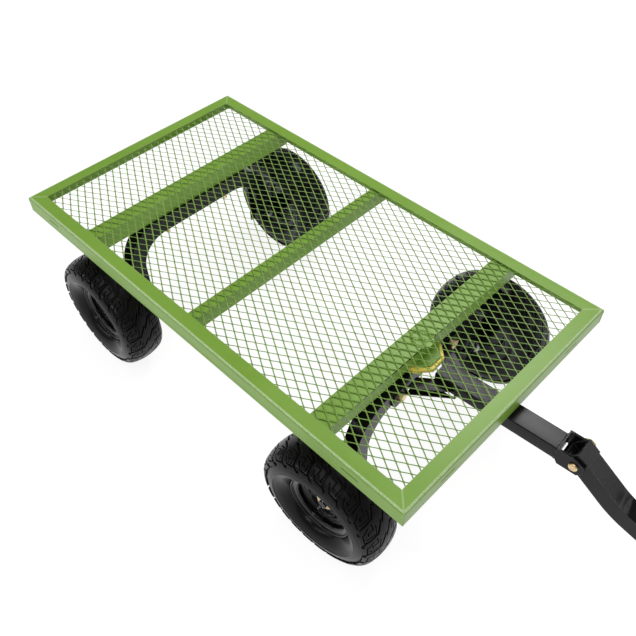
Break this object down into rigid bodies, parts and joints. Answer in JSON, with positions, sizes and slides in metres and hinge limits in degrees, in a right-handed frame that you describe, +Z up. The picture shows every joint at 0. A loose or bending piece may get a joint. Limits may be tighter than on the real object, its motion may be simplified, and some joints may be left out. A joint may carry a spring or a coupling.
{
  "type": "garden cart",
  "caption": "Flat mesh-deck garden cart with a steel frame, pneumatic wheels on arched axles, kingpin steering and a bent pull handle.",
  "frame": {"origin": "on the floor, on the cart's centre line, midway between the rear rail and the end of the grip", "axes": "+X forwards towards the handle, +Y to the cart's left, +Z up"},
  "size_m": [1.8586, 0.6143, 0.324],
  "materials": {
    "green_paint": "satin powder coat",
    "green_mesh": "satin powder coat",
    "black_paint": "satin powder coat",
    "rim_paint": "gloss paint",
    "zinc_steel": "yellow zinc plated",
    "bright_steel": "bright",
    "yellow_plastic": "moulded",
    "grip_plastic": "moulded, fine grain",
    "tyre_rubber": "matt rubber",
    "tube_rubber": "matt"
  },
  "bodies": {
    "deck": {"deck_rail_left": "green_paint", "deck_rail_right": "green_paint", "deck_rail_front": "green_paint", "deck_rail_rear": "green_paint", "deck_mesh": "green_mesh", "cross_member_rear": "green_paint", "cross_member_middle": "green_paint", "cross_member_front": "green_paint", "turntable_plate": "green_paint", "kingpin_bolt": "zinc_steel", "kingpin_nut": "zinc_steel", "rear_axle_beam": "black_paint", "rear_axle_leg_left": "black_paint", "rear_axle_leg_right": "black_paint", "rear_axle_bolts": "zinc_steel", "rear_axle_nuts": "zinc_steel", "rear_spindles": "bright_steel", "rear_wheel_washers": "zinc_steel", "rear_cotter_pins": "bright_steel"},
    "steering": {"wear_ring": "yellow_plastic", "front_axle_beam": "black_paint", "front_axle_leg_left": "black_paint", "front_axle_leg_right": "black_paint", "front_spindles": "bright_steel", "front_wheel_washers": "zinc_steel", "front_cotter_pins": "bright_steel", "drawbar_arm_right": "black_paint", "drawbar_arm_left": "black_paint", "drawbar_bolts": "zinc_steel", "drawbar_nuts": "zinc_steel", "drawbar_tongue": "black_paint", "tongue_clevis": "black_paint", "handle_bolt": "zinc_steel", "handle_nut": "zinc_steel"},
    "handle": {"handle_tube": "black_paint", "handle_end_bracket": "black_paint", "grip_loop": "grip_plastic", "grip_bolts": "bright_steel"},
    "wheel_rear_left": {"rear_left_tyre": "tyre_rubber", "rear_left_inner_tube": "tube_rubber", "rear_left_rim": "rim_paint", "rear_left_hub": "rim_paint", "rear_left_hub_bearings": "bright_steel"},
    "wheel_rear_right": {"rear_right_tyre": "tyre_rubber", "rear_right_inner_tube": "tube_rubber", "rear_right_rim": "rim_paint", "rear_right_hub": "rim_paint", "rear_right_hub_bearings": "bright_steel"},
    "wheel_front_left": {"front_left_tyre": "tyre_rubber", "front_left_inner_tube": "tube_rubber", "front_left_rim": "rim_paint", "front_left_hub": "rim_paint", "front_left_hub_bearings": "bright_steel"},
    "wheel_front_right": {"front_right_tyre": "tyre_rubber", "front_right_inner_tube": "tube_rubber", "front_right_rim": "rim_paint", "front_right_hub": "rim_paint", "front_right_hub_bearings": "bright_steel"}
  },
  "joints": [
    {"name": "steering", "type": "hinge", "parent": "deck", "child": "steering", "pos_m": [-0.0993, 0, 0.28], "axis": [0, 0, 1], "range_deg": [-45.7, 38.3]},
    {"name": "handle_lift", "type": "hinge", "parent": "steering", "child": "handle", "pos_m": [0.21005, 0.02, 0.269], "axis": [0.0645, -0.9979, 0], "range_deg": [0, 110]},
    {"name": "wheel_rear_left_spin", "type": "hinge", "parent": "deck", "child": "wheel_rear_left", "pos_m": [-0.7224, 0.2555, 0.128], "axis": [0, 1, 0], "continuous": true},
    {"name": "wheel_rear_right_spin", "type": "hinge", "parent": "deck", "child": "wheel_rear_right", "pos_m": [-0.7224, -0.2555, 0.128], "axis": [0, 1, 0], "continuous": true},
    {"name": "wheel_front_left_spin", "type": "hinge", "parent": "steering", "child": "wheel_front_left", "pos_m": [-0.1089, 0.25541, 0.128], "axis": [-0.0645, 0.9979, 0], "continuous": true},
    {"name": "wheel_front_right_spin", "type": "hinge", "parent": "steering", "child": "wheel_front_right", "pos_m": [-0.07593, -0.25452, 0.128], "axis": [-0.0645, 0.9979, 0], "continuous": true}
  ]
}
